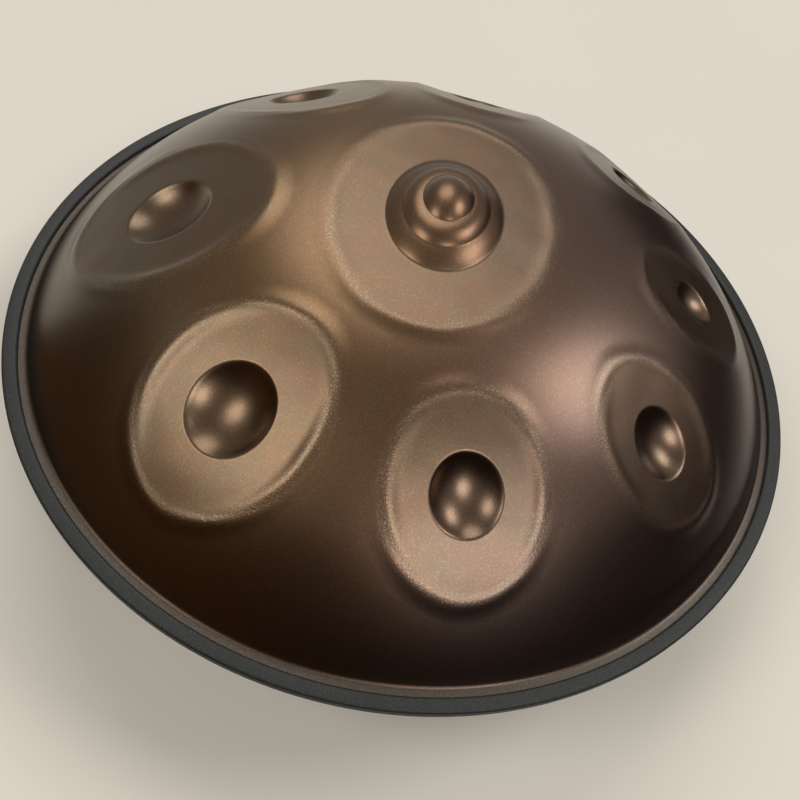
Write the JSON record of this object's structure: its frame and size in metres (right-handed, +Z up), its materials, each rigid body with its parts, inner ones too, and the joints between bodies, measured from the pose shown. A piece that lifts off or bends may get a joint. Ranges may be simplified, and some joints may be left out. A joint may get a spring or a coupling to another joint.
{
  "type": "handpan",
  "caption": "Lens-shaped steel hand drum: two drawn shells glued at a trimmed rim, with a stepped central ding, dimpled oval tone fields and a port below.",
  "frame": {"origin": "on the floor under the middle of the pan, in the middle of its level rest ring", "axes": "+Z up through the ding; the long axis of the ding lies along Y"},
  "size_m": [0.54, 0.54, 0.2317],
  "materials": {
    "nitrided_steel": "satin, bronze-brown nitrided",
    "flange_glue": "cured glue",
    "trim_rubber": "fine pebble grain"
  },
  "bodies": {
    "root": {"ding_shell": "nitrided_steel", "gu_shell": "nitrided_steel", "seam_adhesive": "flange_glue", "edge_trim": "trim_rubber"}
  },
  "joints": []
}
